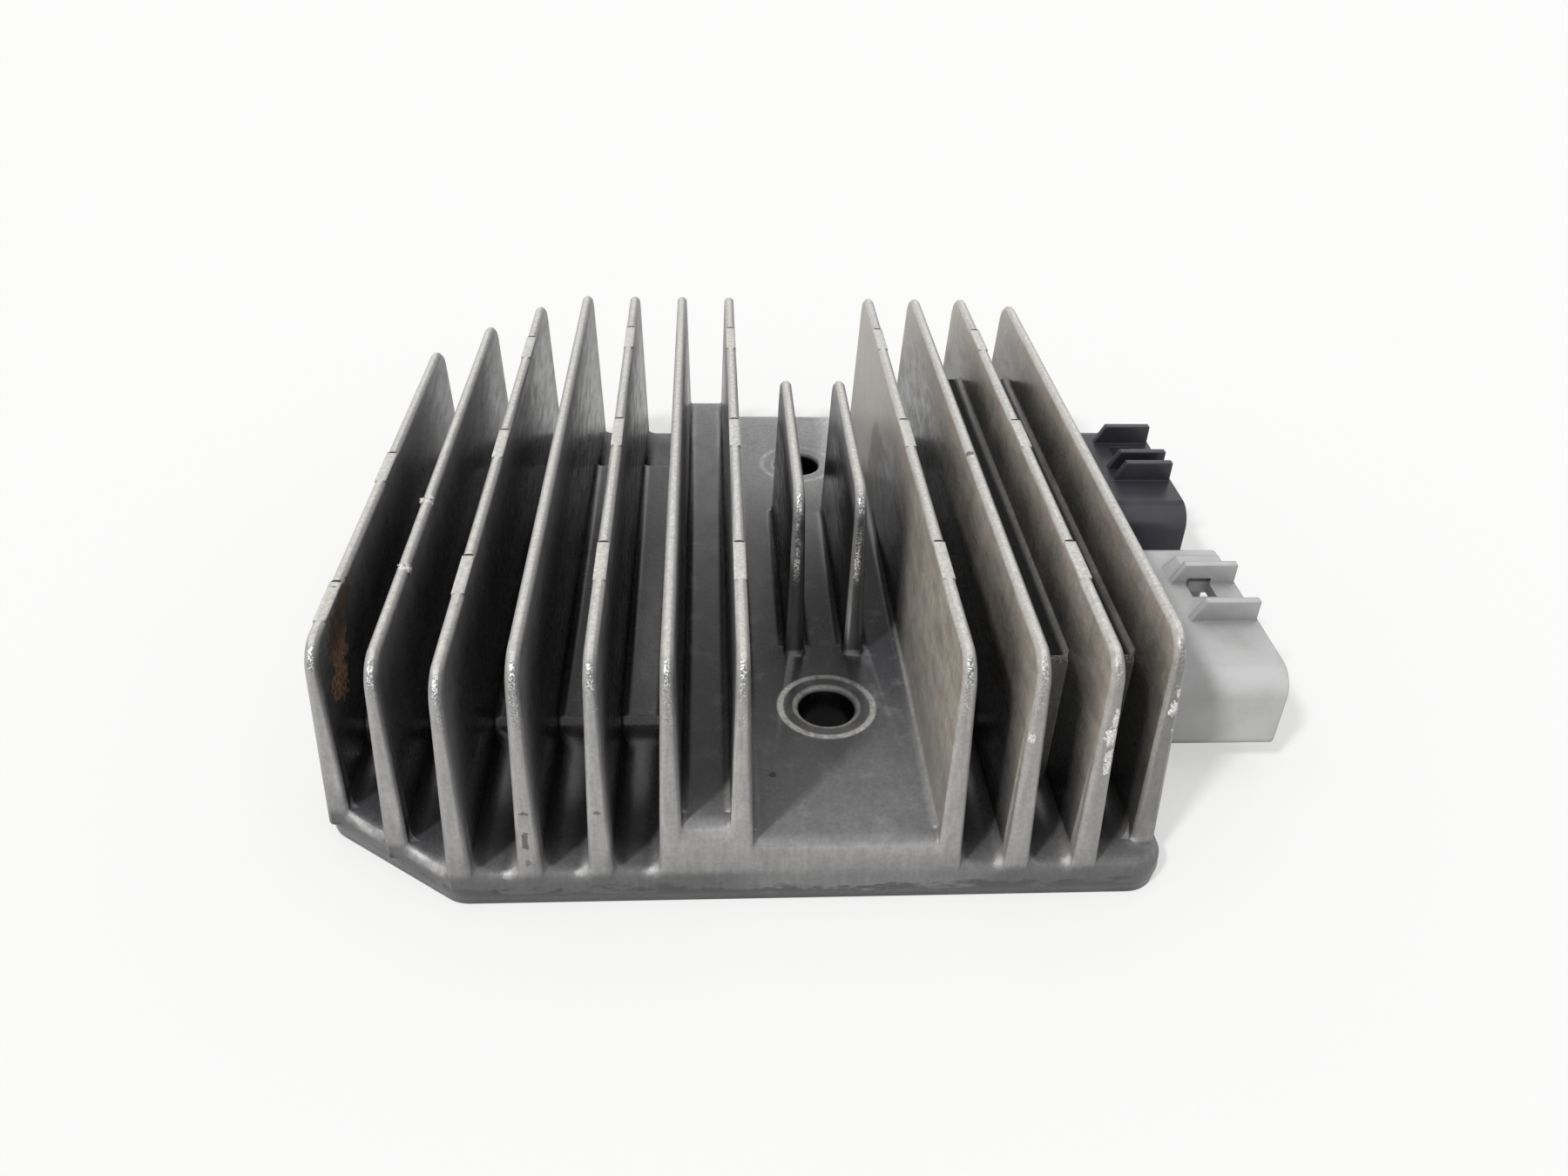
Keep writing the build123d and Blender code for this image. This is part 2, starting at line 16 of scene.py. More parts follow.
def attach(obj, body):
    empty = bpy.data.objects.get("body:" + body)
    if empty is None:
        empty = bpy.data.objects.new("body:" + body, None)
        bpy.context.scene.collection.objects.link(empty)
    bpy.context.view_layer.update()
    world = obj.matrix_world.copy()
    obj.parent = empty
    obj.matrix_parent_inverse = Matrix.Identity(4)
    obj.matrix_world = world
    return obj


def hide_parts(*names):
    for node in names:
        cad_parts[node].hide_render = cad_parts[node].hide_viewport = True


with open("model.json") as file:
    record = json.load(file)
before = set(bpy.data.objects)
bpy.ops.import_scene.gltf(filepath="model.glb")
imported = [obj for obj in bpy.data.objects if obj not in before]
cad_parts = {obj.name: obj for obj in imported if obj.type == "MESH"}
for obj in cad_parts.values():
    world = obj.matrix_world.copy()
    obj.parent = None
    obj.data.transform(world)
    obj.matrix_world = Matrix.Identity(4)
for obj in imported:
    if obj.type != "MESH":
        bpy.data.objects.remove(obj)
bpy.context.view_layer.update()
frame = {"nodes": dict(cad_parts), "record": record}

nodes = frame["nodes"]
scene = bpy.context.scene
print("CAD nodes:", len(nodes))

# %% [markdown]
# Everything in the file is in metres, but a maker thinks of such a part in millimetres, so one
# value turns one into the other. Colours are written as they look on a screen, in hex, and one
# function turns them into the linear numbers that the renderer works with.

# %% Units, colours and nodes
MM = 0.001


def linear(hex_code, alpha=1.0):
    """Linear colour of an sRGB hex code such as "7d7872"."""
    channels = [int(hex_code[i:i + 2], 16) / 255 for i in (0, 2, 4)]
    return tuple(
        c / 12.92 if c <= 0.04045 else ((c + 0.055) / 1.055) ** 2.4 for c in channels
    ) + (alpha,)


def add_node(tree, kind, inputs=None, **settings):
    """Adds a node. inputs maps a socket's name or number to a value or to another socket."""
    node = tree.nodes.new(kind)
    for name, value in settings.items():
        setattr(node, name, value)
    for key, value in (inputs or {}).items():
        if isinstance(value, bpy.types.NodeSocket):
            tree.links.new(value, node.inputs[key])
        else:
            node.inputs[key].default_value = value
    return node


def new_material(name):
    """An empty node material and its tree."""
    material = bpy.data.materials.new(name)
    material.use_nodes = True
    material.node_tree.nodes.clear()
    return material, material.node_tree


print("Middle grey as a linear value:", round(linear("808080")[0], 3))

# %% [markdown]
# The photograph was taken from low in front, a hand's width above the table. The camera's place,
# turn and lens were worked out from the fins, the holes and the edges of the base, so a point of
# the part falls where it does in the photograph.

# %% Camera
PHOTO_WIDTH = 1800
FOCAL_PIXELS = 1420.7
CAMERA_PLACE = Vector((-13.503, -138.981, 99.928)) * MM
YAW, PITCH, ROLL = (math.radians(angle) for angle in (4.189, 34.469, 2.148))

forward = Vector((
    math.sin(YAW) * math.cos(PITCH),
    math.cos(YAW) * math.cos(PITCH),
    -math.sin(PITCH),
))
level_right = Vector((math.cos(YAW), -math.sin(YAW), 0))
level_up = level_right.cross(forward)
right = math.cos(ROLL) * level_right + math.sin(ROLL) * level_up
up = -math.sin(ROLL) * level_right + math.cos(ROLL) * level_up

camera_data = bpy.data.cameras.new("photo_camera")
camera_data.sensor_fit = "HORIZONTAL"
camera_data.sensor_width = 36
camera_data.lens = FOCAL_PIXELS / PHOTO_WIDTH * camera_data.sensor_width
camera_data.clip_start = 0.005
camera = bpy.data.objects.new("photo_camera", camera_data)
turn = Matrix((right, up, -forward)).transposed()
camera.matrix_world = Matrix.Translation(CAMERA_PLACE) @ turn.to_4x4()
scene.collection.objects.link(camera)
scene.camera = camera
print("Lens in mm:", round(camera_data.lens, 2))

# %% [markdown]
# The light in the photograph is a bright room with one stronger light from the front left,
# halfway up, which draws clear shadow edges across the floors. A sun lamp gives that main light
# the same strength all over, and its small angle keeps those edges as clear as they are there.

# %% Main light
TO_MAIN_LIGHT = Vector((-5.6, -5.5, 8.2))
MAIN_STRENGTH = 2.5
MAIN_ANGLE = math.radians(6)

scene.view_settings.view_transform = "Standard"
sun_data = bpy.data.lights.new("main_light", "SUN")
sun_data.energy = MAIN_STRENGTH
sun_data.angle = MAIN_ANGLE
sun = bpy.data.objects.new("main_light", sun_data)
sun.rotation_euler = TO_MAIN_LIGHT.to_track_quat("Z", "Y").to_euler()
scene.collection.objects.link(sun)
print("Main light, degrees up:", round(math.degrees(math.asin(TO_MAIN_LIGHT.normalized().z))))

# %% [markdown]
# A white world, stronger overhead, gives the room with its ceiling lights. What the camera sees
# of it is an even white. Above the white backdrop the far side of the room is darker, and glossy
# rays get that, because it shows only where the paint mirrors it.

# %% White room
SIDE_LIGHT, CEILING_LIGHT = 0.45, 0.9
BACKDROP_TOP = (0.46, 0.64)
FAR_SIDE = (0.15, 0.45)
FAR_SIDE_DIMMING = 0.6

world = bpy.data.worlds.new("white_room")
world.use_nodes = True
room = world.node_tree
room.nodes.clear()
ray = add_node(room, "ShaderNodeLightPath")
direction = add_node(room, "ShaderNodeTexCoord")
towards = add_node(room, "ShaderNodeSeparateXYZ", {0: direction.outputs["Generated"]})
overhead = add_node(room, "ShaderNodeMapRange", {
    "Value": towards.outputs["Z"],
    "From Min": 0.0,
    "From Max": 0.9,
    "To Min": SIDE_LIGHT,
    "To Max": CEILING_LIGHT,
})
above_backdrop = add_node(room, "ShaderNodeMapRange", {
    "Value": towards.outputs["Z"], "From Min": BACKDROP_TOP[0], "From Max": BACKDROP_TOP[1],
}, interpolation_type="SMOOTHSTEP")
behind = add_node(room, "ShaderNodeMapRange", {
    "Value": towards.outputs["Y"],
    "From Min": FAR_SIDE[0],
    "From Max": FAR_SIDE[1],
    "To Max": FAR_SIDE_DIMMING,
}, interpolation_type="SMOOTHSTEP")
dim = add_node(room, "ShaderNodeMath", {
    0: above_backdrop.outputs[0], 1: behind.outputs[0],
}, operation="MULTIPLY")
still_bright = add_node(room, "ShaderNodeMath", {0: 1.0, 1: dim.outputs[0]}, operation="SUBTRACT")
lit, mirrored, seen = (
    add_node(room, "ShaderNodeBackground", {"Color": linear(tint), "Strength": strength})
    for tint, strength in (
        ("ffffff", overhead.outputs[0]),
        ("ffffff", still_bright.outputs[0]),
        ("fcfcfb", 1.0),
    )
)
by_gloss = add_node(room, "ShaderNodeMixShader", {
    0: ray.outputs["Is Glossy Ray"], 1: lit.outputs[0], 2: mirrored.outputs[0],
})
by_camera = add_node(room, "ShaderNodeMixShader", {
    0: ray.outputs["Is Camera Ray"], 1: by_gloss.outputs[0], 2: seen.outputs[0],
})
add_node(room, "ShaderNodeOutputWorld", {"Surface": by_camera.outputs[0]})
scene.world = world
print("Room, nodes:", len(room.nodes))

# %% [markdown]
# The table is a plain white board. It bounces light up into the part as the real one does. What
# the camera sees of it is lifted with a little glow, which keeps it white and its shadows pale.

# %% Table
TABLE_REACH = 3.0
TABLE_HEIGHT = -0.02 * MM

table_corners = [
    (side * TABLE_REACH, end * TABLE_REACH, TABLE_HEIGHT)
    for side, end in ((-1, -1), (1, -1), (1, 1), (-1, 1))
]
table_mesh = bpy.data.meshes.new("white_table")
table_mesh.from_pydata(table_corners, [], [(0, 1, 2, 3)])
table = bpy.data.objects.new("white_table", table_mesh)
scene.collection.objects.link(table)

table_top, tree = new_material("white_melamine_table")
ray = add_node(tree, "ShaderNodeLightPath")
board = add_node(tree, "ShaderNodeBsdfDiffuse", {"Color": linear("cfcfce")})
board_seen = add_node(tree, "ShaderNodeBsdfDiffuse", {"Color": linear("9c9c9c")})
glow = add_node(tree, "ShaderNodeEmission", {"Color": linear("fdfdfc"), "Strength": 0.53})
board_lifted = add_node(tree, "ShaderNodeAddShader", {
    0: board_seen.outputs[0], 1: glow.outputs[0],
})
by_ray = add_node(tree, "ShaderNodeMixShader", {
    0: ray.outputs["Is Camera Ray"], 1: board.outputs[0], 2: board_lifted.outputs[0],
})
add_node(tree, "ShaderNodeOutputMaterial", {"Surface": by_ray.outputs[0]})
table_mesh.materials.append(table_top)
print("Table, metres across:", 2 * TABLE_REACH)

# %% [markdown]
# The solid casting has its edges broken by flat chamfers. The real one has no crisp edge
# anywhere, so a copy of its mesh is welded into one skin, cleared of the triangles inside flat
# faces and given a fine bevel along each edge that points outwards. Only the narrow faces, which
# make up the roundings, are shaded smooth. The copy then stands for the solid in the picture, and
# the solid itself stays as it is.

# %% The casting's welded copy
WELD = 0.002 * MM
FLAT_WITHIN = math.radians(0.6)
EDGE_FROM = math.radians(28)

skin = bmesh.new()
skin.from_mesh(nodes["heat_sink_housing"].data)
bmesh.ops.remove_doubles(skin, verts=skin.verts, dist=WELD)
bmesh.ops.dissolve_limit(
    skin, angle_limit=FLAT_WITHIN, verts=skin.verts, edges=skin.edges, delimit={"NORMAL"}
)
bevel_weight = skin.edges.layers.float.new("bevel_weight_edge")
for skin_edge in skin.edges:
    if skin_edge.calc_face_angle_signed(0) > EDGE_FROM:
        skin_edge[bevel_weight] = 1.0
skin_mesh = bpy.data.meshes.new("rounded_casting")
skin.to_mesh(skin_mesh)
skin.free()
dressing = bpy.data.objects.new("rounded_casting", skin_mesh)
scene.collection.objects.link(dressing)
print("Welded casting, faces:", len(skin_mesh.polygons))

# %% The casting's rounded edges
ROUNDING = 0.22 * MM
NARROW = 0.5 * MM
SHARP_FROM = math.radians(40)


def settle(obj):
    """The object's mesh as its modifiers shape it. They are removed."""
    evaluated = obj.evaluated_get(bpy.context.evaluated_depsgraph_get())
    shaped = bpy.data.meshes.new_from_object(evaluated)
    obj.modifiers.clear()
    obj.data = shaped
    return shaped


soften = dressing.modifiers.new("soften", "BEVEL")
soften.limit_method = "WEIGHT"
soften.width = ROUNDING
soften.segments = 2
rounded_mesh = settle(dressing)
rounded_mesh.materials.clear()
for face in rounded_mesh.polygons:
    corners = [rounded_mesh.vertices[i].co for i in face.vertices]
    rim = sum((a - b).length for a, b in zip(corners, corners[1:] + corners[:1]))
    face.use_smooth = 2 * face.area / rim < NARROW
rounded_mesh.set_sharp_from_angle(angle=SHARP_FROM)
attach(dressing, "root")
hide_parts("heat_sink_housing")
print("Rounded casting, faces:", len(rounded_mesh.polygons))

# %% [markdown]
# The die's ejector pins pressed on square-edged stretches of the fin tops. At the rear end of each
# one a small step casts a dark half-moon of shade, which is laid on as a near-black sheet, a
# painted shadow. Geometry Nodes lay one half-moon on each of a list of points, so its size is a
# single named input, and a new place is one more point.

# %% Places of the ejector pin marks
FIN_PITCH, FIN_ROW_X, ROW_MIDDLE = 7.15, 0.4, 8.5
PAD_TOPS = {1: 24.35, 3: 27.65, 5: 29.3, 7: 29.3, 10: 29.3, 12: 29.3}
PAD_REAR_ENDS = (30.1, 1.1, -27.7)

# The first fin stops short of the rearmost pad
mark_points = [
    ((FIN_ROW_X + (number - ROW_MIDDLE) * FIN_PITCH) * MM, rear_end * MM, (top + 0.01) * MM)
    for number, top in PAD_TOPS.items()
    for rear_end in PAD_REAR_ENDS
    if number > 1 or rear_end < PAD_REAR_ENDS[0]
]
print("Pin marks:", len(mark_points))

# %% Half-moons by Geometry Nodes
MARK_RADIUS = 0.58 * MM
MARK_FLATTENING = 0.62

# The half-moons are painted shadow: a near-black sheet where the step at each pin mark casts
# shade.
pin_shadow_paint, tree = new_material("painted_shadow_at_a_pin_mark")
pin_shadow_shader = add_node(tree, "ShaderNodeBsdfPrincipled", {
    "Base Color": linear("161617"), "Roughness": 0.6,
})
add_node(tree, "ShaderNodeOutputMaterial", {"Surface": pin_shadow_shader.outputs[0]})

marks_tree = bpy.data.node_groups.new("pin_mark_shadows", "GeometryNodeTree")
marks_tree.interface.new_socket("Geometry", in_out="INPUT", socket_type="NodeSocketGeometry")
radius_input = marks_tree.interface.new_socket(
    "Mark Radius", in_out="INPUT", socket_type="NodeSocketFloat"
)
marks_tree.interface.new_socket("Geometry", in_out="OUTPUT", socket_type="NodeSocketGeometry")
entry = add_node(marks_tree, "NodeGroupInput")
arc = add_node(marks_tree, "GeometryNodeCurveArc", {
    "Resolution": 14,
    "Radius": entry.outputs["Mark Radius"],
    "Start Angle": 0.0,
    "Sweep Angle": math.pi,
})
closed = add_node(marks_tree, "GeometryNodeSetSplineCyclic", {
    "Geometry": arc.outputs[0], "Cyclic": True,
})
half_moon = add_node(marks_tree, "GeometryNodeFillCurve", {"Curve": closed.outputs[0]})
laid = add_node(marks_tree, "GeometryNodeInstanceOnPoints", {
    "Points": entry.outputs["Geometry"],
    "Instance": half_moon.outputs[0],
    "Scale": (1.0, MARK_FLATTENING, 1.0),
})
real = add_node(marks_tree, "GeometryNodeRealizeInstances", {0: laid.outputs[0]})
painted = add_node(marks_tree, "GeometryNodeSetMaterial", {
    "Geometry": real.outputs[0], "Material": pin_shadow_paint,
})
add_node(marks_tree, "NodeGroupOutput", {0: painted.outputs[0]})

points_mesh = bpy.data.meshes.new("painted_pin_mark_shadows")
points_mesh.from_pydata(mark_points, [], [])
pin_mark_shadows = bpy.data.objects.new("painted_pin_mark_shadows", points_mesh)
scene.collection.objects.link(pin_mark_shadows)
layout = pin_mark_shadows.modifiers.new("layout", "NODES")
layout.node_group = marks_tree
layout[radius_input.identifier] = MARK_RADIUS
pin_mark_shadows_mesh = settle(pin_mark_shadows)
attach(pin_mark_shadows, "root")
print("Half-moons, faces:", len(pin_mark_shadows_mesh.polygons))

# %% [markdown]
# Two blows on the second fin have turned up burrs of metal at its top edge. Each is a small lump,
# pushed about by a fixed noise so that it looks torn, and sits half in the fin. Its centre and its
# reach along each axis are in millimetres.

# %% Burrs on the second fin
BURRS = (
    ((-46.5, -13.3, 25.9), (0.34, 0.6, 0.16)),
    ((-45.8, -12.9, 25.95), (0.42, 0.22, 0.14)),
    ((-45.4, -27.4, 25.7), (0.22, 0.5, 0.3)),
    ((-46.2, -27.0, 25.95), (0.42, 0.2, 0.14)),
)
TEAR_DEPTH, TEAR_FINENESS = 0.9, 2.6

lumps = bmesh.new()
for centre, reach in BURRS:
    lump = bmesh.ops.create_icosphere(lumps, subdivisions=3, radius=1.0)
    for vertex in lump["verts"]:
        torn = 1 + TEAR_DEPTH * mathutils.noise.noise(vertex.co * TEAR_FINENESS + Vector(centre))
        vertex.co = Vector(c + torn * r * a for c, r, a in zip(centre, reach, vertex.co)) * MM
burr_mesh = bpy.data.meshes.new("edge_burrs")
lumps.to_mesh(burr_mesh)
lumps.free()
burrs = bpy.data.objects.new("edge_burrs", burr_mesh)
scene.collection.objects.link(burrs)
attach(burrs, "root")
print("Burrs:", len(BURRS), "faces:", len(burr_mesh.polygons))

# %% [markdown]
# The casting is aluminium under a satin dark paint that dust and hands have worked on, and some of
# its masks paint in light and shade as well. Such wear could be painted by hand on an unfolded
# mesh. Here it is made of masks instead, which read where a point is and which way it faces, need
# no unfolding and stay fine from close by. Each mask mixes one more colour over the last, and
# small helpers keep a mask to a line or two.

# %% Painted casting: place, facing and helpers
# Heights of the parting line, flange, floors and blocks in millimetres, as in the part's source
PARTING, FLANGE, BLOCK, CENTRE_FLOOR, SIDE_FLOOR, TALL_BLOCK = 1.8, 3.9, 7.5, 7.6, 10.1, 20.4
TALL_BLOCK_LEFT = FIN_ROW_X + (11 - ROW_MIDDLE) * FIN_PITCH

casting, tree = new_material("satin_painted_die_cast_aluminium")
place = add_node(tree, "ShaderNodeTexCoord").outputs["Object"]
normal = add_node(tree, "ShaderNodeNewGeometry").outputs["Normal"]
x, y, z = add_node(tree, "ShaderNodeSeparateXYZ", {0: place}).outputs
facing_x, facing_y, facing_z = add_node(tree, "ShaderNodeSeparateXYZ", {0: normal}).outputs


def noise(feature_mm, detail=3.0, stretch=(1, 1, 1)):
    """Noise from 0 to 1 whose features are about that many millimetres across."""
    moved = add_node(tree, "ShaderNodeMapping", {
        "Vector": place, "Scale": tuple(1 / (feature_mm * s * MM) for s in stretch),
    })
    return add_node(tree, "ShaderNodeTexNoise", {
        "Vector": moved.outputs[0], "Scale": 1.0, "Detail": detail, "Roughness": 0.6,
    }).outputs["Fac"]


def ramp(value, start, end, low=0.0, high=1.0):
    """Low where value is at start, high where it is at end, and smooth between them."""
    return add_node(tree, "ShaderNodeMapRange", {
        "Value": value, "From Min": start, "From Max": end, "To Min": low, "To Max": high,
    }, interpolation_type="SMOOTHSTEP").outputs[0]


def span(distance, start_mm, end_mm, low=0.0, high=1.0):
    """A ramp along a distance, with its two ends in millimetres."""
    return ramp(distance, start_mm * MM, end_mm * MM, low, high)


def maths(operation, *values):
    """One arithmetic step on sockets or numbers."""
    return add_node(
        tree, "ShaderNodeMath", dict(enumerate(values)), operation=operation
    ).outputs[0]


def away_from(middle_mm, distance):
    """How far a distance is from a value in millimetres, to either side."""
    return maths("ABSOLUTE", maths("SUBTRACT", distance, middle_mm * MM))


def product(*values):
    """All the masks multiplied together."""
    result = values[0]
    for value in values[1:]:
        result = maths("MULTIPLY", result, value)
    return result


def layer(mask, below, above):
    """Mixes above over below by the mask. Either is a socket or a hex code."""
    colours = [linear(c) if isinstance(c, str) else c for c in (below, above)]
    return add_node(tree, "ShaderNodeMix", {
        0: mask, 6: colours[0], 7: colours[1],
    }, data_type="RGBA").outputs[2]


# %% [markdown]
# Nothing on an old casting is even, so most masks are broken up by noise. The patterns run from
# patches as wide as a fingertip to the grain of the sprayed paint, which is drawn a little
# coarser than it is, to show at all. The streaks run down the fins, as the die leaves them.

# %% Painted casting: patterns
patches = noise(12, 4)
scuffs = noise(3.5, 5)
mottling = noise(2.2, 4, (1, 2.2, 0.8))
specks = noise(0.9, 2)
streaks = noise(0.8, 3, (0.6, 1, 6))
grain = noise(0.45, 3)
flakes = noise(0.38, 4, (1, 1, 1.6))
pitting = ramp(noise(0.2, 2), 0.47, 0.6)
print("Casting, nodes for patterns:", len(tree.nodes))

# %% [markdown]
# The paint in the open has turned grey. What lies deep between the fins is dark, partly its own
# dark paint and partly painted shade. An ambient occlusion node measures how open each place is,
# so one material covers both. The sides that look left on the right half face the main light, and
# are painted warmer and paler, as painted light.

# %% Painted casting: dark paint, weathered paint and painted light
openness = add_node(
    tree, "ShaderNodeAmbientOcclusion", {"Distance": 11 * MM}, samples=12
).outputs["AO"]
open_here = maths("ADD", openness, maths("MULTIPLY_ADD", patches, 0.24, -0.12))
weathering_and_shade = ramp(open_here, 0.12, 0.6)
cool_grey = layer(mottling, "5c5c60", "757472")
lit_side_grey = layer(mottling, "726c65", "b6ada1")
facing_left = ramp(facing_x, -0.5, -0.9)
# Painted light: the left-facing sides on the right half are paler where the main light falls on
# them.
painted_lit_sides = product(facing_left, span(x, 6, 9), span(z, 9, 22, 0.35, 1.0))
paint = layer(weathering_and_shade, "1d1e21", layer(painted_lit_sides, cool_grey, lit_side_grey))
print("Casting, nodes so far:", len(tree.nodes))

# %% [markdown]
# Three places keep their own tone. The tall blocks between the last fins lie in the shadow of the
# fins and are painted nearly black, as painted shade. The channel floors are smooth and dark, with
# scuffs all over. Their dark middle is partly dark paint and partly a painted reflection of the
# fins, and their paler rear is a painted reflection of the bright room. The lowest ground behind
# the flange is darkened with painted shade.

# %% Painted casting: blocks, floors and low ground
# Painted shade: the tall blocks lie in the shadow of the fins.
tall_block_shade = product(
    ramp(maths("ABSOLUTE", facing_x), 0.6, 0.4),
    span(x, TALL_BLOCK_LEFT - 1.3, TALL_BLOCK_LEFT - 0.3),
    span(y, -41, -38),
    span(y, 36, 34.5),
    span(z, TALL_BLOCK + 1.1, TALL_BLOCK + 0.4),
)
paint = layer(product(tall_block_shade, 0.9), paint, "1b1b1f")

floors = product(ramp(facing_z, 0.7, 0.9), span(z, SIDE_FLOOR + 2.9, SIDE_FLOOR + 0.9))
rearward = span(y, -48, -18, 0.1, 0.9)
towards_rear = span(y, 3, 29)
# Painted reflection: darker in the middle where the floors mirror the fins, paler at the rear
# where they mirror the bright room.
paint = layer(product(floors, rearward), paint, layer(towards_rear, "292a2e", "b6b6b8"))
paint = layer(product(floors, ramp(scuffs, 0.52, 0.68, 0.0, 0.35)), paint, "7d7d7e")

# Painted shade on the lowest ground behind the flange.
low_ground_shade = product(
    span(z, BLOCK - 1.1, BLOCK - 1.9),
    span(y, -51, -45),
    ramp(facing_y, -0.6, -0.3),
    ramp(openness, 0.75, 0.5),
)
paint = layer(product(low_ground_shade, 0.85), paint, "28282b")
print("Casting, nodes so far:", len(tree.nodes))

# %% [markdown]
# The rounded tops of the fins catch dust and have lost their colour, and so have the narrow ends
# that face the viewer. The short fins stand in the shadow of the others and are painted nearly
# black, as painted shade.

# %% Painted casting: fin ends, short fins and fin tops
ends = product(ramp(facing_y, -0.6, -0.95), span(y, -30, -36), span(z, 3, 9, 0.15, 0.75))
short_fin_shade = product(
    span(away_from(FIN_ROW_X, x), 6, 5),
    span(z, 28.5, 25),
    span(z, CENTRE_FLOOR + 0.4, CENTRE_FLOOR + 1.0),
)
tops = product(
    ramp(facing_z, 0.55, 0.95), span(z, 21.5, 23), ramp(grain, 0.25, 0.6, 0.88, 1.0)
)
colour = layer(ends, paint, layer(mottling, "888784", "9a9895"))
# Painted shade: the short fins are painted near black.
colour = layer(product(short_fin_shade, 0.95), colour, "17171a")
colour = layer(tops, colour, layer(specks, "aeaca7", "bfbdb8"))
print("Casting, nodes so far:", len(tree.nodes))

# %% [markdown]
# A Bevel node gives the facing that a fuller rounding would have, wider at the flange than on the
# fins. Where an edge turns, its tone is painted light and shade. On the left half the edges that
# turn right, away from the main light, carry painted shade, and all the others carry a pale
# painted highlight.

# %% Painted casting: edges that turn
FIN_EDGE, FLANGE_EDGE = 0.6 * MM, 2.2 * MM

rounded = add_node(tree, "ShaderNodeBevel", {
    "Radius": span(z, BLOCK - 0.5, FLANGE + 1.1, FIN_EDGE, FLANGE_EDGE),
}, samples=10).outputs[0]
rounded_x, _, rounded_z = add_node(tree, "ShaderNodeSeparateXYZ", {0: rounded}).outputs
at_an_edge = product(
    ramp(maths("ABSOLUTE", facing_x), 0.98, 0.92), span(z, 8, 12, 0.3, 1.0)
)
right_half = span(x, 2, 8)
turned_right = product(ramp(rounded_x, 0.1, 0.6), at_an_edge)
turned_left = product(ramp(rounded_x, -0.1, -0.6), at_an_edge)
edge_painted_shade = product(
    turned_right,
    ramp(right_half, 0.0, 1.0, 1.0, 0.0),
    ramp(facing_z, 0.6, 0.3, 0.15, 0.6),
)
edge_painted_highlight = maths("MAXIMUM", turned_left, product(turned_right, right_half))
# Painted shade on edges turned away from the main light, and a painted highlight on the rest.
colour = layer(edge_painted_shade, colour, "3a3a3c")
colour = layer(product(edge_painted_highlight, 0.22), colour, "c4c2bd")
print("Casting, nodes so far:", len(tree.nodes))

# %% [markdown]
# The front ends of the last fins are browner and darker than the rest, and the foot of the very
# last one is darkened with painted shade. The flange's front is darker, most of all away from the
# middle, and its upper edge on the left carries a broken pale line of painted highlight.

# %% Painted casting: the last fins and the flange
last_ends = product(ends, right_half, span(x, 22, 31, 0.1, 0.85))
last_foot_shade = product(facing_left, span(x, 26, 31), span(z, 19, 11, 0.0, 0.6))
flange_front = product(
    span(z, FLANGE + 0.7, FLANGE - 0.5), span(away_from(2, x), 8, 16, 0.3, 0.85)
)
flange_edge_highlight = product(
    ramp(rounded_z, 0.25, 0.5),
    ramp(rounded_z, 0.98, 0.85),
    ramp(rounded_x, -0.1, -0.35),
    span(z, FLANGE + 0.9, FLANGE + 0.3),
    ramp(openness, 0.45, 0.65),
    ramp(noise(1.6, 4), 0.38, 0.6, 0.25, 0.6),
)
# The last foot gets painted shade and the flange's upper edge a painted highlight.
for mask, tone in (
    (last_ends, "4c4a46"),
    (last_foot_shade, "403e3b"),
    (flange_front, "3d3d3f"),
    (flange_edge_highlight, "b3b2ae"),
):
    colour = layer(mask, colour, tone)
print("Casting, nodes so far:", len(tree.nodes))

# %% [markdown]
# Hands and spanners rub the front top corners of the fins down to bright, pitted metal. A corner
# is where the surface faces halfway between forward and up. The same mask makes it metallic.

# %% Painted casting: rubbed corners
CORNER_FACING = (0.0, -0.8, 0.6)

towards_corner = add_node(tree, "ShaderNodeVectorMath", {
    0: normal, 1: CORNER_FACING,
}, operation="DOT_PRODUCT").outputs["Value"]
below_corner = product(
    ramp(facing_y, -0.6, -0.9),
    span(z, 20, 26, 0.0, 0.7),
    ramp(noise(1.6, 2), 0.4, 0.6),
)
corner = product(
    maths("MAXIMUM", ramp(towards_corner, 0.87, 0.97), below_corner),
    span(z, 17, 20),
    span(x, 12, 22, 1.0, 0.4),
)
bright_metal = product(corner, pitting)
colour = layer(product(corner, 0.8), colour, layer(pitting, "505054", "e2e1dd"))
print("Casting, nodes so far:", len(tree.nodes))

# %% [markdown]
# Where a flanged bolt head sat, its rim has cut through the paint in a bright ring. The distance
# from the hole's axis gives the ring, and noise breaks it up so that it isn't too perfect. The
# wall of each hole is painted near black, as painted shade.

# %% Painted casting: bolt rings and the holes
HOLE_PLACES = ((0.0, -29.0), (0.0, 29.0))
HOLE_RADIUS = 3.3
RINGS = ((5.4, 0.5, 0.95), (3.7, 0.36, 0.5))  # radius, width and strength

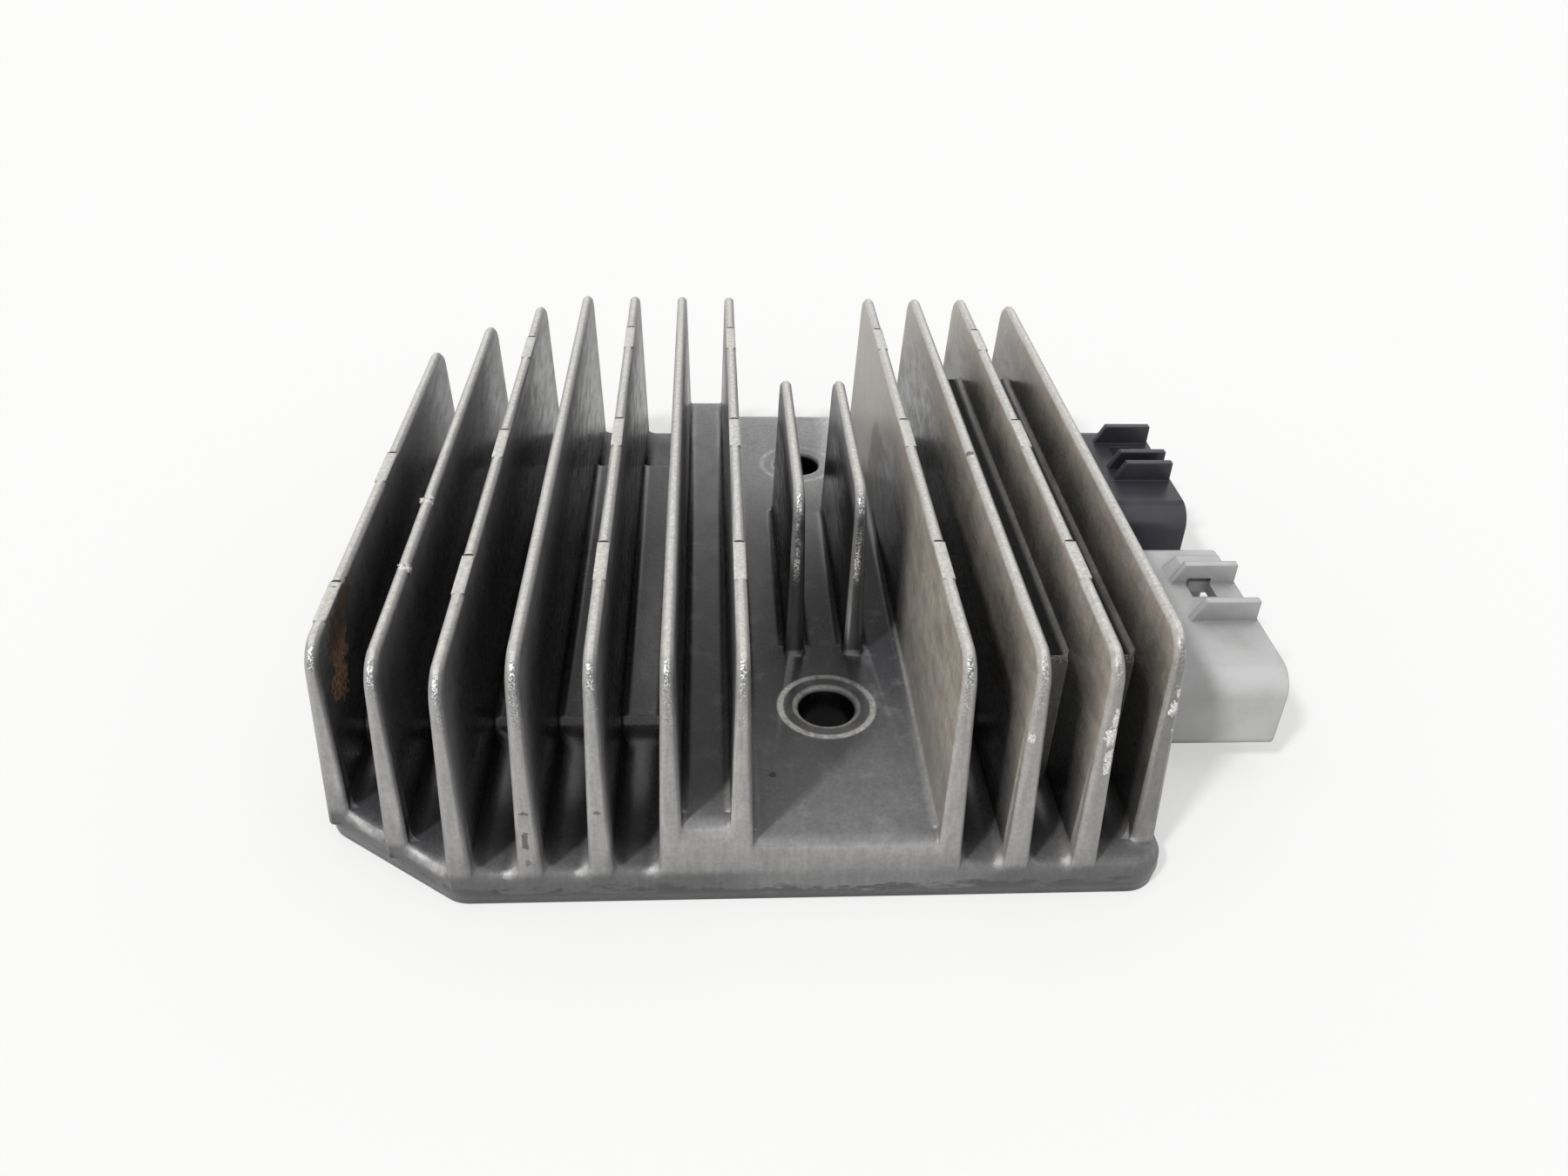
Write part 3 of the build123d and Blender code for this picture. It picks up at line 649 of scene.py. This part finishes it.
on_the_floor = span(z, CENTRE_FLOOR - 0.8, CENTRE_FLOOR - 0.5)
level_place = add_node(tree, "ShaderNodeCombineXYZ", {0: x, 1: y}).outputs[0]
for hole_x, hole_y in HOLE_PLACES:
    from_axis = add_node(tree, "ShaderNodeVectorMath", {
        0: level_place, 1: (hole_x * MM, hole_y * MM, 0.0),
    }, operation="DISTANCE").outputs["Value"]
    front_left = maths("SUBTRACT", hole_y * MM, maths("ADD", x, y))
    for radius, width, strength in RINGS:
        ring = product(
            span(away_from(radius, from_axis), width, width * 0.4, 0.0, strength),
            ramp(specks, 0.3, 0.55, 0.5, 1.0),
            span(front_left, -6, 4, 0.4, 1.0),
            on_the_floor,
        )
        colour = layer(ring, colour, "e2e0db")
    # Painted shade inside the hole.
    hole_shade = product(
        span(from_axis, HOLE_RADIUS + 0.06, HOLE_RADIUS + 0.02),
        span(z, CENTRE_FLOOR - 0.3, CENTRE_FLOOR - 0.6),
    )
    colour = layer(hole_shade, colour, "0c0c0d")
print("Bolt rings:", len(HOLE_PLACES) * len(RINGS))

# %% [markdown]
# Knocks have left small marks in places of their own: pale chips at the front edges on the
# right, dents on the second fin, rust inside the first, and pits along the flange. Each mark is a
# soft ball at its place, stretched along an axis and made ragged by noise. The lists give its
# centre and its reach in millimetres, and how strong it is.

# %% Painted casting: chips, dents, dirt and rust
BRIGHT_MARKS = (
    ((33.2, -46.9, 23.2), (0.7, 1.6, 1.4), 0.9),
    ((32.9, -46.8, 21.2), (0.75, 1.6, 1.3), 0.85),
    ((33.2, -47.4, 18.6), (0.4, 1.4, 1.2), 0.7),
    ((30.9, -48.2, 13.2), (0.5, 1.4, 2.1), 0.8),
    ((26.0, -49.5, 22.6), (0.6, 1.6, 1.6), 0.9),
    ((25.7, -49.6, 20.4), (0.75, 1.6, 1.4), 0.85),
    ((25.8, -49.8, 17.6), (0.45, 1.6, 2.0), 0.75),
    ((17.8, -49.8, 20.4), (0.5, 1.2, 0.7), 0.6),
    ((-46.0, -13.0, 26.0), (1.2, 0.9, 0.8), 0.95),
    ((-45.8, -27.2, 25.8), (1.1, 0.8, 0.9), 0.95),
)
DARK_MARKS = (
    ((-6.8, -40.4, 7.6), (0.45, 0.5, 0.4), 0.95),
    ((-31.8, -50.4, 12.0), (0.6, 1.0, 0.3), 0.7),
    ((-24.6, -50.4, 12.0), (0.5, 1.0, 0.25), 0.6),
    ((-31.9, -50.2, 8.6), (0.45, 1.2, 1.3), 0.75),
    ((-31.8, -50.4, 5.6), (0.35, 1.2, 0.9), 0.5),
    ((18.0, -7.6, 29.3), (0.8, 0.5, 0.6), 0.8),
    ((-47.0, -46.6, 2.6), (0.6, 0.8, 0.5), 0.8),
    ((-40.5, -51.0, 1.9), (0.5, 1.4, 0.5), 0.9),
    ((-35.5, -51.4, 1.9), (0.7, 1.4, 0.4), 0.8),
    ((-29.0, -51.4, 2.0), (0.5, 1.4, 0.35), 0.7),
)
RUST_MARKS = (
    ((-52.3, -29.0, 22.8), (1.4, 4.6, 2.0), 0.75),
    ((-52.3, -33.0, 20.2), (1.4, 3.8, 3.6), 0.9),
    ((-52.3, -34.4, 16.8), (1.4, 3.2, 2.8), 0.95),
)
RAGGEDNESS = 1.8
MARK_CORE, MARK_END = 1.65, 1.8


def marks_over(colour, marks, above, edges):
    """Mixes marks of one colour over what is there. The noise edges makes them ragged."""
    for centre, reach, strength in marks:
        moved = add_node(tree, "ShaderNodeMapping", {
            "Vector": place,
            "Location": tuple(-c / r for c, r in zip(centre, reach)),
            "Scale": tuple(1 / (r * MM) for r in reach),
        })
        from_centre = add_node(tree, "ShaderNodeVectorMath", {
            0: moved.outputs[0],
        }, operation="LENGTH").outputs["Value"]
        ragged = maths("MULTIPLY_ADD", edges, RAGGEDNESS, from_centre)
        colour = layer(ramp(ragged, MARK_END, MARK_CORE, 0.0, strength), colour, above)
    return colour


chip = layer(pitting, "b9b8b4", "f2f1ee")
flaking_rust = layer(ramp(flakes, 0.35, 0.65), "5e4534", "b08c72")
rust = layer(span(z, 18, 22), flaking_rust, "4c3a30")
colour = marks_over(colour, BRIGHT_MARKS, chip, flakes)
colour = marks_over(colour, DARK_MARKS, "18181a", specks)
colour = marks_over(colour, RUST_MARKS, rust, specks)
print("Marks:", len(BRIGHT_MARKS) + len(DARK_MARKS) + len(RUST_MARKS))

# %% [markdown]
# Road dirt clings along the parting line of the base and below it, on the front and the sides.
# Its upper limit is a height with noise added, so that it wanders.

# %% Painted casting: road dirt
WANDER = 0.9 * MM

wandering = ramp(noise(1.4, 5, (2, 2, 0.6)), 0.3, 0.7, -WANDER, WANDER)
dirt = span(maths("ADD", z, wandering), PARTING + 0.4, PARTING - 0.3, 0.0, 0.85)
colour = layer(dirt, colour, "2c2c2e")
print("Casting, nodes so far:", len(tree.nodes))

# %% [markdown]
# Satin paint mirrors the room in soft patches. It is duller where it has weathered, smoother on
# the floors and on the flange, and hardly shines in the dark corners that the light can't reach.
# The rubbed corners shine as metal does. Grain and streaks vary the tone and raise the surface.

# %% Painted casting: shine and grain
GRAIN_HEIGHT = 0.035 * MM

smooth_paint = maths(
    "MAXIMUM",
    product(floors, rearward, ramp(towards_rear, 0.3, 1.0, 1.0, 0.0)),
    span(z, FLANGE + 1.1, FLANGE - 0.4),
)
roughness = maths("MULTIPLY_ADD", smooth_paint, -0.14, ramp(weathering_and_shade, 0.0, 1.0, 0.24, 0.38))
roughness = maths("ADD", roughness, ramp(mottling, 0.3, 0.7, -0.05, 0.06))
dull = maths("MAXIMUM", low_ground_shade, maths("MAXIMUM", tall_block_shade, product(short_fin_shade, 0.6)))
toned = add_node(tree, "ShaderNodeVectorMath", {
    0: colour,
    "Scale": product(ramp(grain, 0.3, 0.7, 0.88, 1.1), ramp(streaks, 0.3, 0.7, 0.9, 1.09)),
}, operation="SCALE")
bumps = add_node(tree, "ShaderNodeBump", {
    "Height": maths("MULTIPLY_ADD", streaks, 0.5, grain),
    "Distance": GRAIN_HEIGHT,
    "Strength": product(ramp(weathering_and_shade, 0.0, 1.0, 0.25, 0.6), ramp(tops, 0.0, 1.0, 1.0, 0.45)),
    "Normal": rounded,
})
paint_shader = add_node(tree, "ShaderNodeBsdfPrincipled", {
    "Base Color": toned.outputs[0],
    "Metallic": product(bright_metal, 0.8),
    "Roughness": roughness,
    "Specular IOR Level": ramp(dull, 0.0, 1.0, 0.5, 0.08),
    "Normal": bumps.outputs[0],
    "IOR": 1.75,
})
add_node(tree, "ShaderNodeOutputMaterial", {"Surface": paint_shader.outputs[0]})
print("Casting, nodes in all:", len(tree.nodes))

# %% [markdown]
# Both shells are moulded from glass-filled PBT, a tough plastic with a fine dull skin. One is
# light grey and one near black, so that their plugs can't be swapped. A fine noise gives the skin,
# a broad one some handling dirt, and ambient occlusion darkens the sockets and other closed-in
# places with painted shade. The finishes that lie inside the casting differ from it in colour,
# gloss and grain, so one function makes them all.

# %% A moulded, cast or rolled finish
DIRT_PATCH = 7 * MM
DIRT_SHARE = 0.5
SHADE_REACH = 6 * MM
MOULDED_EDGE = 0.3 * MM


def moulded(name, base, dirt, roughness, grain_mm, depth_mm, metallic=0.0):
    """A base colour, a second one in patches, and a fine skin."""
    material, tree = new_material(name)
    place = add_node(tree, "ShaderNodeTexCoord")
    patches = add_node(tree, "ShaderNodeTexNoise", {
        "Vector": place.outputs["Object"], "Scale": 1 / DIRT_PATCH, "Detail": 5, "Roughness": 0.65,
    })
    skin = add_node(tree, "ShaderNodeTexNoise", {
        "Vector": place.outputs["Object"], "Scale": 1 / (grain_mm * MM), "Detail": 2,
    })
    share = add_node(tree, "ShaderNodeMapRange", {
        "Value": patches.outputs["Fac"], "From Min": 0.4, "From Max": 0.75, "To Max": DIRT_SHARE,
    })
    colour = add_node(tree, "ShaderNodeMix", {
        0: share.outputs[0], 6: linear(base), 7: linear(dirt),
    }, data_type="RGBA")
    # Painted shade: ambient occlusion darkens the closed-in places.
    openness = add_node(tree, "ShaderNodeAmbientOcclusion", {"Distance": SHADE_REACH}, samples=8)
    unshaded_share = add_node(tree, "ShaderNodeMapRange", {
        "Value": openness.outputs["AO"], "From Min": 0.3, "From Max": 1.0, "To Min": 0.35,
    })
    darker_inwards = add_node(tree, "ShaderNodeVectorMath", {
        0: colour.outputs[2], "Scale": unshaded_share.outputs[0],
    }, operation="SCALE")
    rounded = add_node(tree, "ShaderNodeBevel", {"Radius": MOULDED_EDGE}, samples=6)
    bumps = add_node(tree, "ShaderNodeBump", {
        "Height": skin.outputs["Fac"],
        "Distance": depth_mm * MM,
        "Strength": 0.5,
        "Normal": rounded.outputs[0],
    })
    shader = add_node(tree, "ShaderNodeBsdfPrincipled", {
        "Base Color": darker_inwards.outputs[0],
        "Metallic": metallic,
        "Roughness": roughness,
        "Normal": bumps.outputs[0],
    })
    add_node(tree, "ShaderNodeOutputMaterial", {"Surface": shader.outputs[0]})
    return material


# %% [markdown]
# Each line gives a finish by its colour, its dirt, its roughness, and its grain's size and depth
# in millimetres. Moulded plastic has a soft sheen, poured epoxy sets like dark glass with slow
# waves, lacquered fibreglass is smooth, and tin and rolled aluminium mirror softly as metals do.
# Each solid then takes the finish of its slot in the part's record.

# %% Give every node its finish
FINISHES = {
    "painted_casting": casting,
    "grey_plastic": moulded("light_grey_moulded_pbt", "aeaeae", "868583", 0.34, 0.35, 0.02),
    "black_plastic": moulded("black_moulded_pbt", "2e2e34", "414046", 0.3, 0.35, 0.02),
    "terminal_brass": moulded(
        "tinned_brass_strip", "cfccc4", "b3aa98", 0.28, 0.5, 0.01, metallic=1.0
    ),
    "substrate_aluminium": moulded(
        "rolled_aluminium_sheet", "c2c3c5", "a8a9ab", 0.4, 0.4, 0.01, metallic=1.0
    ),
    "device_plastic": moulded(
        "black_moulded_epoxy_package", "1a1a1b", "262626", 0.5, 0.2, 0.01
    ),
    "board_laminate": moulded(
        "green_lacquered_fibreglass", "1d5a35", "174a2b", 0.3, 0.4, 0.02
    ),
    "capacitor_case": moulded(
        "red_moulded_capacitor_case", "8a3324", "702a1f", 0.35, 0.4, 0.01
    ),
    "potting_resin": moulded("black_poured_epoxy", "101113", "1c1c1e", 0.16, 6.0, 0.12),
}
for dressed in (dressing, burrs):
    dressed.data.materials.append(casting)
slots = {part["node"]: part["material_slot"] for part in frame["record"]["subparts"]}
for name, obj in nodes.items():
    finish = FINISHES[slots[name]]
    if not obj.material_slots:
        obj.data.materials.append(finish)
    for material_slot in obj.material_slots:
        material_slot.material = finish
print("Finished nodes:", len(nodes))
